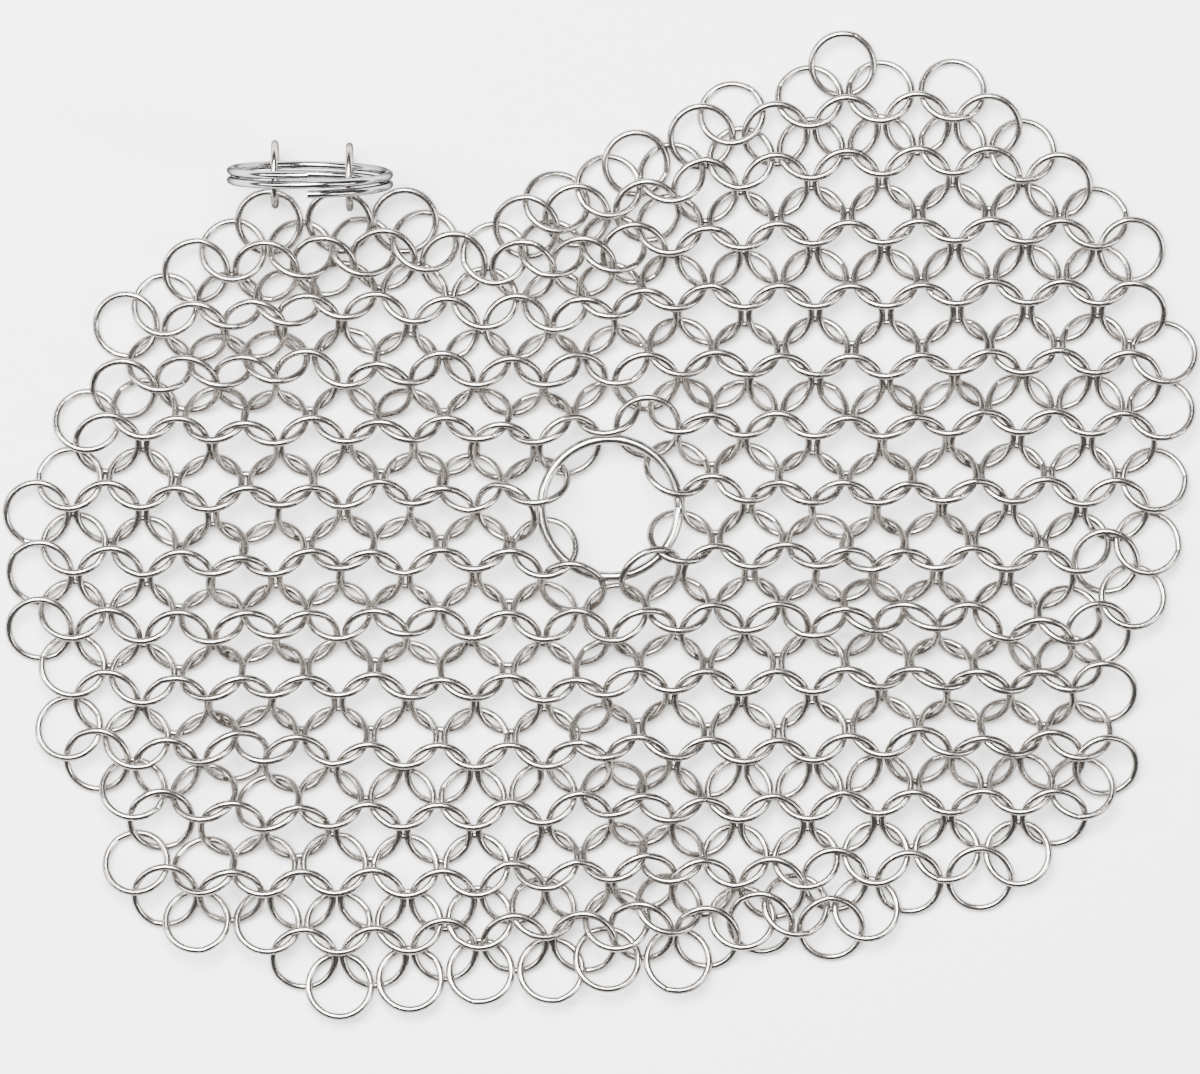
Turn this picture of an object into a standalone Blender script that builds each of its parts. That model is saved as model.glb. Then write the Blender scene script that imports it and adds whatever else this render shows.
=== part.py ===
"""Round chainmail scrubber: steel rings woven four in one round a centre ring,
with a split ring hung from the edge. Metres, +Z up, lying on the plane z = 0."""

import math

import bmesh
import bpy
import numpy as np
from mathutils import Matrix, Vector

# Small rings
RING_OUTER = 0.0099
WIRE = 0.0010
RING_SIDES = 6
WIRE_SIDES = 3
FACET_SHARE = 1.06
SECTION_SHARE = 1.08

# Weave: the ranges of its rings are shares of its radius and pitch
FIELD_SHARE = 1.2
HOLE_SHARE = 0.7
LINK_SHARE = 0.8
THREADED_SHARE = 1.6
WEAVE_PITCH = 0.0100
WEAVE_RADIUS = 0.0815
RUNNING_GAP = 0.00025
FOLD_GAP = 0.0005
TOUCH_DEPTH = 0.00060
FOLD_LINES = (-0.0575, -0.0380, -0.0180, 0.0180, 0.0355, 0.0530)
FOLD_SHIFTS = (0, 0.001, 0.001, 0.001, 0.001, 0.002)
FOLD_HEIGHTS = (0.0025, 0.0015, 0.0015, 0.0025, 0.0025, 0.0025)
STRIP_NAMES = ("near_edge", "near_outer", "near_inner", "middle", "far_inner", "far_outer", "far_edge")
PATCH_RINGS = 8
PATCH_LEAST = 4
RING_LEAN = math.radians(30)
FLAT_DEPTH = 0.00005

# Centre ring
CENTRE_OUTER = 0.0210
CENTRE_WIRE = 0.0015
CENTRE_HEIGHT = 0.0042
CENTRE_SIDES = 24
CENTRE_WIRE_SIDES = 8
THREADED_RADIUS = 0.0123

# Split ring and the two small rings that it hangs on
SPLIT_OUTER = 0.0235
SPLIT_WIRE = 0.0013
SPLIT_TURNS = 2
SPLIT_PITCH = 0.00175
SPLIT_STEPS = 24
SPLIT_LEAN = math.radians(8)
SPLIT_ANGLE = math.radians(134)
HANGER_OUT = 0.0017
HANGER_GAP = 0.0006
HANGER_PLAY = 0.0018
HANGER_PLAY_OUT = 0.00045
HANGER_TRIES = 13
HANGER_SAMPLES = 36
HANGER_HEIGHT = 0.00495
HUNG_HEIGHT = 0.0029
HANGER_SIDES = 12
HANGER_WIRE_SIDES = 4
SPLIT_OUT = 0.0029
ROW_SHARE = 1.3
LEVEL_SHARE = 0.35
CLEAR_SHARE = 0.9

# Angle from +X in degrees, reach as it lies and reach of the weave, both as shares of WEAVE_RADIUS
OUTLINE_SHARES = (
    (4, 0.97, 1.00), (16, 1.02, 1.05), (28, 1.03, 1.06), (42, 0.97, 1.02), (54, 0.97, 1.02),
    (64, 0.95, 0.99), (72, 0.78, 0.88), (82, 0.66, 0.80), (94, 0.57, 0.72), (108, 0.52, 0.67),
    (119, 0.55, 0.68), (127, 0.67, 0.82), (136, 0.77, 0.94), (146, 0.85, 0.97), (160, 0.91, 1.00),
    (172, 0.95, 1.02), (184, 1.00, 1.07), (197, 1.03, 1.10), (212, 1.04, 1.10), (226, 1.04, 1.09),
    (236, 1.02, 1.07), (246, 0.96, 1.04), (258, 0.87, 0.99), (272, 0.82, 0.96), (289, 0.82, 0.95),
    (304, 0.88, 0.98), (314, 0.95, 1.02), (323, 1.02, 1.07), (334, 0.98, 1.04), (344, 0.91, 1.01),
    (354, 0.93, 1.00),
)

# Settling of the weave: rounds, shares of the way drawn in at each round and shares of the wire
DRAW_STEPS = 12
DRAW_ROUNDS = 35
DRAW_PULL = 0.05
REST_ROUNDS = 120
REST_PULL = 0.01
HOLD_PASSES = 2
HOLD_ROUNDS = 380
HOLD_PULL = 0.002
REACH_SHARE = 0.81
LOOSE_SIGHT_SHARE = 0.4
TIED_SIGHT_SHARE = 2.0
SLACK_SHARE = 0.1
EASE_SHARE = 0.4
DRAW_IN_SHARE = 0.25
MOVE_SHARE = 0.28
CENTRE_SIGHT_SHARE = 2.5
TURN_LIMIT = 0.06
PAIR_ROUNDS = 20
TINY = 1e-12
EDGE_POWER = 1.2
WAVE_SHARE = 0.10
WAVE_TURNS = (2.3, 1.6)
LEAN_SHARE = 0.35
SINK = 0.00001
SIDE_SAMPLES = 3
PLACE_DIGITS = 7
TURN_DIGITS = 6

RING_RADIUS = (RING_OUTER - WIRE) / 2
FACET = 2 * math.pi / RING_SIDES
CORNER_REACH = RING_RADIUS * FACET_SHARE
SIDE_REACH = CORNER_REACH * math.cos(FACET / 2)
CENTRE_RADIUS = (CENTRE_OUTER - CENTRE_WIRE) / 2
SPLIT_RADIUS = (SPLIT_OUTER - SPLIT_WIRE) / 2
LINK_REACH = REACH_SHARE * 2 * RING_RADIUS


def unit(vectors):
    """Vectors of length one"""
    length = np.linalg.norm(vectors, axis=-1, keepdims=True)
    return vectors / np.maximum(length, TINY)


def share(theta, column):
    """Reach at an angle, from the outline's shares"""
    table = np.array(OUTLINE_SHARES)
    angles = np.concatenate([table[:, 0] - 360, table[:, 0], table[:, 0] + 360])
    return np.interp(np.degrees(theta) % 360, angles, np.tile(table[:, column], 3))


def ring_sites():
    """Ring centres of the flat weave: two square nets, one in the gaps of the other"""
    half = int(FIELD_SHARE * WEAVE_RADIUS / WEAVE_PITCH) + 1
    sites = []
    for i in range(-half, half + 1):
        for j in range(-half, half + 1):
            sites.append(((i + 0.5) * WEAVE_PITCH, j * WEAVE_PITCH, 1))
            sites.append((i * WEAVE_PITCH, (j + 0.5) * WEAVE_PITCH, -1))
    sites = np.array(sites)
    reach = np.hypot(sites[:, 0], sites[:, 1])
    theta = np.arctan2(sites[:, 1], sites[:, 0])
    sites = sites[(reach > HOLE_SHARE * WEAVE_PITCH) & (reach < share(theta, 2) * WEAVE_RADIUS)]
    while True:
        apart = np.linalg.norm(sites[:, None, :2] - sites[None, :, :2], axis=2)
        linked = (apart > 0) & (apart < LINK_SHARE * WEAVE_PITCH)
        held = linked.sum(1) >= 2
        if held.all():
            return sites[:, :2], sites[:, 2], linked
        sites = sites[held]


def lying_places(sites):
    """Where each ring lies once the mail is drawn in to its outline"""
    reach = np.hypot(sites[:, 0], sites[:, 1])
    theta = np.arctan2(sites[:, 1], sites[:, 0])
    drawn = share(theta, 1) / share(theta, 2)
    along = reach / (share(theta, 2) * WEAVE_RADIUS)
    places = sites * (1 + (drawn - 1) * along ** EDGE_POWER)[:, None]
    wave = np.pi * sites / WEAVE_RADIUS * WAVE_TURNS
    strength = WAVE_SHARE * WEAVE_PITCH * along
    places[:, 0] += strength * np.sin(wave[:, 1] + wave[:, 0])
    places[:, 1] += strength * np.sin(wave[:, 0] - wave[:, 1])
    threaded = reach < THREADED_SHARE * WEAVE_PITCH
    places[threaded] = THREADED_RADIUS * unit(sites[threaded])
    return places, threaded


def leaning_frames(sites, side):
    """Each ring's axes: across, along and its normal, leaning one way or the other"""
    wave = np.pi * sites / WEAVE_RADIUS * WAVE_TURNS
    vary = 1 + LEAN_SHARE * np.sin(wave[:, 0]) * np.cos(wave[:, 1])
    lean = RING_LEAN * side * vary
    none = np.zeros(len(side))
    normal = np.stack([none, -np.sin(lean), np.cos(lean)], 1)
    across = np.tile([1.0, 0.0, 0.0], (len(side), 1))
    return np.stack([across, np.cross(normal, across), normal], 2)


def turned(frames, turns):
    """Frames turned by small rotation vectors"""
    angle = np.linalg.norm(turns, axis=1, keepdims=True)
    axis = turns / np.maximum(angle, TINY)
    cross = np.zeros((len(turns), 3, 3))
    cross[:, 0, 1], cross[:, 0, 2], cross[:, 1, 2] = -axis[:, 2], axis[:, 1], -axis[:, 0]
    cross -= cross.transpose(0, 2, 1)
    sine, versine = np.sin(angle)[:, :, None], (1 - np.cos(angle))[:, :, None]
    frames = frames + (sine * cross + versine * (cross @ cross)) @ frames
    across = unit(frames[:, :, 0])
    normal = unit(np.cross(across, frames[:, :, 1]))
    return np.stack([across, np.cross(normal, across), normal], 2)


def around(centres, frames, phases, reaches):
    """Points round each ring at given angles and distances from its centre"""
    flat = np.cos(phases)[None, :, None] * frames[:, None, :, 0]
    flat = flat + np.sin(phases)[None, :, None] * frames[:, None, :, 1]
    return centres[:, None] + np.reshape(reaches, (1, -1, 1)) * flat


def wire_points(centres, frames):
    """Points along the sides of each ring's wire line"""
    count = RING_SIDES * SIDE_SAMPLES
    phases = 2 * math.pi * (np.arange(count) + 0.5) / count
    return around(centres, frames, phases, SIDE_REACH / np.cos(phases % FACET - FACET / 2))


def corner_points(centres, frames):
    """The corners of each ring's wire line"""
    return around(centres, frames, FACET * np.arange(RING_SIDES), np.full(RING_SIDES, CORNER_REACH))


def onto_ring(points, centres, frames):
    """Nearest points on the rings' wire lines"""
    away = points - centres
    across = np.sum(away * frames[..., 0], -1)
    along = np.sum(away * frames[..., 1], -1)
    middle = (np.floor(np.arctan2(along, across) / FACET) + 0.5) * FACET
    cosine, sine = np.cos(middle), np.sin(middle)
    half = SIDE_REACH * math.tan(FACET / 2)
    slide = np.clip(along * cosine - across * sine, -half, half)
    across = (SIDE_REACH * cosine - slide * sine)[..., None]
    along = (SIDE_REACH * sine + slide * cosine)[..., None]
    return centres + across * frames[..., 0] + along * frames[..., 1]


def outer_wire(centre, frame):
    """The place on a ring's wire line that is farthest along +Y"""
    return onto_ring(centre + np.array([0, RING_RADIUS, 0]), centre, frame)


def meetings(centres, frames, one, other, limit):
    """Places where the wire of one ring passes the wire of the other nearer than a limit"""
    points = wire_points(centres, frames)[one]
    nearest = onto_ring(points, centres[other][:, None], frames[other][:, None])
    apart = np.linalg.norm(points - nearest, axis=2)
    closest = (apart <= np.roll(apart, 1, 1)) & (apart < np.roll(apart, -1, 1)) & (apart < limit)
    pair, sample = np.nonzero(closest)
    one, other = one[pair], other[pair]
    here = points[pair, sample]
    for _ in range(3):
        there = onto_ring(here, centres[other], frames[other])
        here = onto_ring(there, centres[one], frames[one])
    return one, other, here, onto_ring(here, centres[other], frames[other])


def near_pairs(centres):
    """Both orders of each pair of rings that can meet"""
    apart = np.linalg.norm(centres[:, None] - centres[None], axis=2)
    one, other = np.nonzero(apart < 2 * CORNER_REACH + 2 * WIRE)
    keep = one != other
    return one[keep], other[keep]


def push(moves, turns, rings, centres, places, direction, amount):
    """Adds the shift and turn that move a place on a ring by an amount"""
    lever = np.cross(places - centres[rings], direction)
    ease = 1 + 2 * np.sum(lever * lever, 1) / RING_RADIUS ** 2
    step = (amount / ease)[:, None]
    np.add.at(moves, rings, step * direction)
    np.add.at(turns, rings, step * lever * 2 / RING_RADIUS ** 2)


def nearest_of_each(one, other, apart, count):
    """Marks the closest meeting of each pair"""
    key = np.minimum(one, other) * count + np.maximum(one, other)
    order = np.lexsort((apart, key))
    first = np.ones(len(order), bool)
    first[1:] = key[order][1:] != key[order][:-1]
    marked = np.zeros(len(order), bool)
    marked[order[first]] = True
    return marked


def settle(centres, frames, linked, spacing, touching, places, pull, weight, rounds, hung=()):
    """Moves and turns the rings until their wires keep their spacing"""
    count = len(centres)
    joined = np.argwhere(np.triu(linked))
    by_centre = np.nonzero(np.hypot(places[:, 0], places[:, 1]) < CENTRE_SIGHT_SHARE * THREADED_RADIUS)[0]
    for turn in range(rounds):
        if turn % PAIR_ROUNDS == 0:
            pairs = near_pairs(centres)
        moves, turns = np.zeros((count, 3)), np.zeros((count, 3))
        limit = spacing.max() + (TIED_SIGHT_SHARE if touching.any() else LOOSE_SIGHT_SHARE) * WIRE
        one, other, here, there = meetings(centres, frames, *pairs, limit)
        away = here - there
        apart = np.linalg.norm(away, axis=1)
        direction = away / np.maximum(apart, TINY)[:, None]
        wanted = spacing[one, other]
        held = touching[one, other] & nearest_of_each(one, other, apart, count)
        short = np.maximum(wanted - apart, np.where(held, -SLACK_SHARE * WIRE, 0))
        push(moves, turns, one, centres, here, direction, EASE_SHARE * short)
        push(moves, turns, other, centres, there, -direction, EASE_SHARE * short)

        points = wire_points(centres[by_centre], frames[by_centre])
        out = np.linalg.norm(points[:, :, :2], axis=2)
        rise = points[:, :, 2] - CENTRE_HEIGHT
        apart = np.hypot(out - CENTRE_RADIUS, rise)
        wanted = (WIRE + CENTRE_WIRE) / 2 + RUNNING_GAP
        nearest = (apart <= np.roll(apart, 1, 1)) & (apart < np.roll(apart, -1, 1)) & (apart < wanted)
        ring, sample = np.nonzero(nearest)
        place = points[ring, sample]
        sideways = ((out - CENTRE_RADIUS)[ring, sample] / out[ring, sample])[:, None] * place[:, :2]
        direction = unit(np.concatenate([sideways, rise[ring, sample][:, None]], 1))
        short = wanted - apart[ring, sample]
        push(moves, turns, by_centre[ring], centres, place, direction, 2 * EASE_SHARE * short)

        corners = corner_points(centres, frames)
        under, corner = np.nonzero(corners[:, :, 2] < WIRE / 2)
        place = corners[under, corner]
        upwards = np.tile([0.0, 0.0, 1.0], (len(under), 1))
        push(moves, turns, under, centres, place, upwards, 2 * EASE_SHARE * (WIRE / 2 - place[:, 2]))

        for ring in hung:
            outer = outer_wire(centres[ring], frames[ring])
            lift = max(HUNG_HEIGHT - outer[2], 0)
            push(moves, turns, [ring], centres, outer[None], np.array([[0, 0, 1.0]]), np.array([lift]))

        across = centres[joined[:, 1]] - centres[joined[:, 0]]
        length = np.linalg.norm(across, axis=1)
        draw = (DRAW_IN_SHARE * np.maximum(length - LINK_REACH, 0) / length)[:, None] * across
        np.add.at(moves, joined[:, 0], draw)
        np.add.at(moves, joined[:, 1], -draw)

        moves[:, 2] -= weight
        moves[:, :2] += pull * (places - centres[:, :2])
        moves *= np.minimum(1, MOVE_SHARE * WIRE / np.maximum(np.linalg.norm(moves, axis=1), TINY))[:, None]
        turns *= np.minimum(1, TURN_LIMIT / np.maximum(np.linalg.norm(turns, axis=1), TINY))[:, None]
        centres = np.round(centres + moves, PLACE_DIGITS)
        frames = np.round(turned(frames, turns), TURN_DIGITS)
    return centres, frames


def bands_of(places):
    """Number of the strip between fold lines that each ring lies in"""
    return np.searchsorted(np.array(FOLD_LINES), places[:, 1])


def patches_of(places, band, linked):
    """Splits each strip into patches of linked rings, from left to right"""
    count = len(places)
    patch = np.full(count, -1)
    near = linked & (band[:, None] == band[None])
    groups = []
    for strip in range(len(FOLD_LINES) + 1):
        free = set(np.nonzero(band == strip)[0])
        while free:
            seed = min(free, key=lambda ring: (places[ring, 0], places[ring, 1]))
            group = [seed]
            free.discard(seed)
            while len(group) < PATCH_RINGS:
                edge = {int(r) for g in group for r in np.nonzero(near[g])[0]} & free
                if not edge:
                    break
                pick = min(edge, key=lambda ring: (places[ring, 0], places[ring, 1]))
                group.append(pick)
                free.discard(pick)
            groups.append(group)
            patch[group] = len(groups) - 1
    for small in sorted(range(len(groups)), key=lambda g: len(groups[g])):
        if not 0 < len(groups[small]) < PATCH_LEAST:
            continue
        beside = {int(patch[r]) for g in groups[small] for r in np.nonzero(near[g])[0]} - {small}
        if beside:
            host = min(beside, key=lambda g: len(groups[g]))
            groups[host] += groups[small]
            groups[small] = []
            patch[groups[host]] = host
    return [sorted(group) for group in groups if group]


def ties_of(groups, centres, frames):
    """Pairs of rings that touch, so that each patch hangs together by its closest meetings"""
    count = len(centres)
    gap = np.full((count, count), np.inf)
    one, other, here, there = meetings(centres, frames, *near_pairs(centres), RING_RADIUS)
    np.minimum.at(gap, (one, other), np.linalg.norm(here - there, axis=1))
    gap = np.minimum(gap, gap.T)
    touching = np.zeros((count, count), bool)
    for group in groups:
        chain, left = [group[0]], set(group[1:])
        while left:
            crowded = gap + SLACK_SHARE * WIRE * touching.sum(1)[:, None]
            _, host, ring = min((crowded[a, b], a, b) for a in chain for b in left)
            touching[host, ring] = touching[ring, host] = True
            chain.append(ring)
            left.discard(ring)
    return touching


def hanging_row(centres, side):
    """The two neighbouring rings of the upper edge nearest to the split ring's direction"""
    flat = centres[:, :2]
    reach = share(SPLIT_ANGLE, 1) * WEAVE_RADIUS
    target = reach * np.array([math.cos(SPLIT_ANGLE), math.sin(SPLIT_ANGLE)])
    best = None
    for left in range(len(flat)):
        for right in np.nonzero((side == side[left]) & (flat[:, 0] > flat[left, 0]))[0]:
            step = flat[right] - flat[left]
            if step[0] > ROW_SHARE * WEAVE_PITCH or abs(step[1]) > LEVEL_SHARE * WEAVE_PITCH:
                continue
            middle = (flat[left] + flat[right]) / 2
            over = (np.abs(flat[:, 0] - middle[0]) < CLEAR_SHARE * WEAVE_PITCH) & (
                flat[:, 1] > middle[1] + LEVEL_SHARE * WEAVE_PITCH)
            miss = np.linalg.norm(middle - target)
            if not over.any() and (best is None or miss < best[0]):
                best = (miss, left, int(right))
    return best[1:]


def mail_layout():
    """Settles the whole mail and returns its rings, strips, patches and the pair that is hung from"""
    sites, side, linked = ring_sites()
    places, threaded = lying_places(sites)
    count = len(sites)
    centres = np.concatenate([sites, np.full((count, 1), CENTRE_HEIGHT)], 1)
    frames = leaning_frames(sites, side)
    free = np.full((count, count), WIRE + RUNNING_GAP)
    loose = np.zeros((count, count), bool)
    for step in range(1, DRAW_STEPS + 1):
        part = step / DRAW_STEPS
        target = sites + part * (places - sites)
        centres, frames = settle(
            centres, frames, linked, part * free, loose, target, DRAW_PULL, 0, DRAW_ROUNDS)
    centres, frames = settle(centres, frames, linked, free, loose, places, REST_PULL, SINK, REST_ROUNDS)
    band = bands_of(centres)
    groups = patches_of(centres, band, linked)
    pair = hanging_row(centres, side)
    for _ in range(HOLD_PASSES):
        touching = ties_of(groups, centres, frames)
        spacing = np.where(band[:, None] != band[None], WIRE + FOLD_GAP, free)
        spacing[touching] = WIRE - TOUCH_DEPTH
        centres, frames = settle(
            centres, frames, linked, spacing, touching, places, HOLD_PULL, SINK, HOLD_ROUNDS, pair)
    return centres, frames, band, groups, pair


def room_round(place, centres, frames):
    """Least distance from an upright ring's wire line to the wire lines of the mail"""
    near = np.linalg.norm(centres - place, axis=1) < 2 * RING_OUTER
    phases = 2 * math.pi * np.arange(HANGER_SAMPLES) / HANGER_SAMPLES
    spokes = np.stack([0 * phases, np.cos(phases), np.sin(phases)], 1)
    points = (place + RING_RADIUS * spokes)[:, None]
    return np.linalg.norm(points - onto_ring(points, centres[near][None], frames[near][None]), axis=2).min()


def hanger_centres(centres, frames, pair):
    """Centres of the upright small rings, each round the outer wire of its edge ring"""
    spots = []
    wanted = WIRE + HANGER_GAP
    for ring in pair:
        outer = outer_wire(centres[ring], frames[ring])
        tries = [
            np.array([outer[0] + sideways, outer[1] + HANGER_OUT + outwards, HANGER_HEIGHT])
            for sideways in np.linspace(-HANGER_PLAY, HANGER_PLAY, HANGER_TRIES)
            for outwards in np.linspace(-HANGER_PLAY_OUT, HANGER_PLAY_OUT, HANGER_TRIES)]
        spots.append(min(tries, key=lambda place: abs(room_round(place, centres, frames) - wanted)))
    return np.array(spots)


def split_centre(hangers):
    """Centre of the split ring, which stands in both hangers and leans over the mail"""
    axle = split_axle(hangers)
    half = (hangers[1][0] - hangers[0][0]) / 2
    rise = math.sqrt(SPLIT_RADIUS ** 2 - half ** 2)
    return axle + rise * np.array([0, -math.sin(SPLIT_LEAN), math.cos(SPLIT_LEAN)])


def split_axle(hangers):
    """The line through both hangers that the split ring swings on"""
    middle = hangers.mean(0)
    return middle + np.array([0, SPLIT_OUT - HANGER_OUT, 0])


def report_gap(name, gap):
    """Prints a measured gap in millimetres"""
    print(name, "least gap", round(gap * 1000, 2), "mm")


def material(name, colour, roughness):
    """A plain metal finish"""
    finish = bpy.data.materials.new(name)
    finish.use_nodes = True
    shader = finish.node_tree.nodes["Principled BSDF"]
    shader.inputs["Base Color"].default_value = (*colour, 1)
    shader.inputs["Metallic"].default_value = 1
    shader.inputs["Roughness"].default_value = roughness
    finish.diffuse_color = (*colour, 1)
    return finish


def torus_mesh(radius, wire_radius, sides, wire_sides):
    """The mesh of a torus primitive"""
    bpy.ops.mesh.primitive_torus_add(
        major_radius=radius, minor_radius=wire_radius, major_segments=sides, minor_segments=wire_sides)
    primitive = bpy.context.object
    mesh = primitive.data
    bpy.data.objects.remove(primitive)
    return mesh


def small_ring_mesh():
    """A ring with straight sides, whose wire has an edge along its inside"""
    corners = FACET * np.arange(RING_SIDES)
    edges = math.pi + 2 * math.pi * np.arange(WIRE_SIDES) / WIRE_SIDES
    across, up = WIRE / 2 * SECTION_SHARE * np.array([np.cos(edges), np.sin(edges)])
    reach = CORNER_REACH + across[None]
    rise = np.tile(up, (RING_SIDES, 1))
    points = np.stack([reach * np.cos(corners)[:, None], reach * np.sin(corners)[:, None], rise], 2)
    shape = bmesh.new()
    rows = [[shape.verts.new(point) for point in row] for row in points]
    for row, following in zip(rows, rows[1:] + rows[:1]):
        for edge in range(WIRE_SIDES):
            beside = (edge + 1) % WIRE_SIDES
            shape.faces.new((row[edge], following[edge], following[beside], row[beside]))
    bmesh.ops.recalc_face_normals(shape, faces=shape.faces)
    mesh = bpy.data.meshes.new("small_ring")
    shape.to_mesh(mesh)
    shape.free()
    return mesh


def split_ring_mesh():
    """Two close turns of wire, swept along a helix round the Z axis"""
    steps = SPLIT_TURNS * SPLIT_STEPS
    phases = 2 * math.pi * np.arange(steps + 1) / SPLIT_STEPS + math.pi / 2
    heights = SPLIT_PITCH * (np.arange(steps + 1) - steps / 2) / SPLIT_STEPS
    line = np.stack([SPLIT_RADIUS * np.cos(phases), SPLIT_RADIUS * np.sin(phases), heights], 1)
    apart = np.linalg.norm(line[:, None] - line[None], axis=2)
    along = np.abs(np.arange(steps + 1)[:, None] - np.arange(steps + 1)[None])
    report_gap("split_ring", apart[along > SPLIT_STEPS / 2].min() - SPLIT_WIRE)
    curve = bpy.data.curves.new("split_ring_line", "CURVE")
    curve.dimensions = "3D"
    curve.bevel_depth = SPLIT_WIRE / 2
    curve.bevel_resolution = 1
    curve.use_fill_caps = True
    spline = curve.splines.new("POLY")
    spline.points.add(steps)
    for point, place in zip(spline.points, line):
        point.co = (*place, 1)
    guide = bpy.data.objects.new("split_ring_line", curve)
    bpy.context.scene.collection.objects.link(guide)
    bpy.context.view_layer.update()
    mesh = bpy.data.meshes.new_from_object(guide.evaluated_get(bpy.context.evaluated_depsgraph_get()))
    bpy.data.objects.remove(guide)
    shape = bmesh.new()
    shape.from_mesh(mesh)
    bmesh.ops.remove_doubles(shape, verts=shape.verts, dist=SINK)
    shape.to_mesh(mesh)
    shape.free()
    return mesh


def placed(mesh, centre, frame):
    """A copy of a mesh, moved and turned"""
    copy = mesh.copy()
    matrix = Matrix(np.asarray(frame).tolist()).to_4x4()
    matrix.translation = Vector(centre)
    copy.transform(matrix)
    return copy


def add_object(name, mesh, collection, finish=None):
    """A new object for a mesh"""
    thing = bpy.data.objects.new(name, mesh)
    collection.objects.link(thing)
    if finish:
        mesh.materials.clear()
        mesh.materials.append(finish)
    return thing


def add_joint(name, place, things, parent=None):
    """An empty on a joint's axis, which carries the things that move with it"""
    empty = bpy.data.objects.new(name, None)
    empty.empty_display_size = RING_OUTER
    empty.location = place
    guides.objects.link(empty)
    bpy.context.view_layer.update()
    for thing in things:
        thing.parent = empty
        thing.matrix_parent_inverse = empty.matrix_world.inverted()
    if parent:
        empty.parent = parent
        empty.matrix_parent_inverse = parent.matrix_world.inverted()
    return empty


def floor_slab():
    """A slab whose top is the plane that the mail lies on"""
    bpy.ops.mesh.primitive_cube_add(size=1)
    slab = bpy.context.object
    slab.name = "floor_cutter"
    slab.scale = (4 * WEAVE_RADIUS, 4 * WEAVE_RADIUS, RING_OUTER)
    slab.location = (0, 0, -RING_OUTER / 2)
    slab.hide_render = True
    slab.display_type = "WIRE"
    for collection in slab.users_collection:
        collection.objects.unlink(slab)
    cutters.objects.link(slab)
    return slab


def united(name, meshes, finish, slab):
    """One solid from the meshes of rings that touch, cut flat where it lies"""
    thing = add_object(name, meshes[0], parts)
    helpers = [add_object(name + "_ring", mesh, cutters) for mesh in meshes[1:]]
    for helper in helpers:
        join = thing.modifiers.new("join", "BOOLEAN")
        join.operation = "UNION"
        join.object = helper
    if min(v.co.z for mesh in meshes for v in mesh.vertices) < 0:
        cut = thing.modifiers.new("cut", "BOOLEAN")
        cut.operation = "DIFFERENCE"
        cut.object = slab
    bpy.context.view_layer.update()
    evaluated = thing.evaluated_get(bpy.context.evaluated_depsgraph_get())
    solid = bpy.data.meshes.new_from_object(evaluated)
    solid.name = name
    thing.modifiers.clear()
    thing.data = solid
    solid.materials.clear()
    solid.materials.append(finish)
    for helper in helpers:
        bpy.data.objects.remove(helper)
    return thing


def collection_of(name):
    """A new collection in the scene"""
    collection = bpy.data.collections.new(name)
    bpy.context.scene.collection.children.link(collection)
    return collection


for old in list(bpy.data.objects):
    bpy.data.objects.remove(old)
parts = collection_of("chainmail_scrubber")
cutters = collection_of("cutters")
guides = collection_of("joints")

mail_steel = material("mail_steel", (0.66, 0.65, 0.63), 0.28)
centre_steel = material("centre_ring_steel", (0.72, 0.71, 0.69), 0.22)
split_steel = material("split_ring_steel", (0.74, 0.73, 0.72), 0.18)

# The mail, in patches of touching rings that are linked one patch into the next
centres, frames, band, groups, pair = mail_layout()
ring = small_ring_mesh()
slab = floor_slab()
low = np.array([0, 0, FLAT_DEPTH])
strips = [[] for _ in STRIP_NAMES]
for group in groups:
    strip = band[group[0]]
    name = STRIP_NAMES[strip] + "_mail_" + str(len(strips[strip]) + 1)
    rings = [placed(ring, centres[member] - low, frames[member]) for member in group]
    strips[strip].append(united(name, rings, mail_steel, slab))

# The centre ring, through the inmost rings of the mail
middle = torus_mesh(CENTRE_RADIUS, CENTRE_WIRE / 2, CENTRE_SIDES, CENTRE_WIRE_SIDES)
centre_place = np.array([0, 0, CENTRE_HEIGHT])
centre_ring = add_object("centre_ring", placed(middle, centre_place, np.eye(3)), parts, centre_steel)

# The split ring and its two hangers
hangers = hanger_centres(centres, frames, pair)
upright = np.array([[0, 0, 1], [1, 0, 0], [0, 1, 0]])
hanger = torus_mesh(RING_RADIUS, WIRE / 2, HANGER_SIDES, HANGER_WIRE_SIDES)
hanger_rings = [
    add_object("hanger_ring_" + word, placed(hanger, place, upright), parts, mail_steel)
    for word, place in zip(("left", "right"), hangers)]
leaning = np.array([
    [1, 0, 0],
    [0, -math.sin(SPLIT_LEAN), -math.cos(SPLIT_LEAN)],
    [0, math.cos(SPLIT_LEAN), -math.sin(SPLIT_LEAN)]])
double_ring = placed(split_ring_mesh(), split_centre(hangers), leaning)
split_ring = add_object("split_ring", double_ring, parts, split_steel)

# The middle of the whole part's plan comes to the origin
everything = [thing for strip in strips for thing in strip] + [centre_ring, split_ring] + hanger_rings
corners = np.array([vertex.co for thing in everything for vertex in thing.data.vertices])
shift = -(corners.min(0) + corners.max(0)) / 2
shift[2] = 0
for thing in everything:
    thing.data.transform(Matrix.Translation(shift))
print("centre ring at", (centre_place + shift).round(5), "span", np.ptp(corners, axis=0).round(5))

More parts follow.
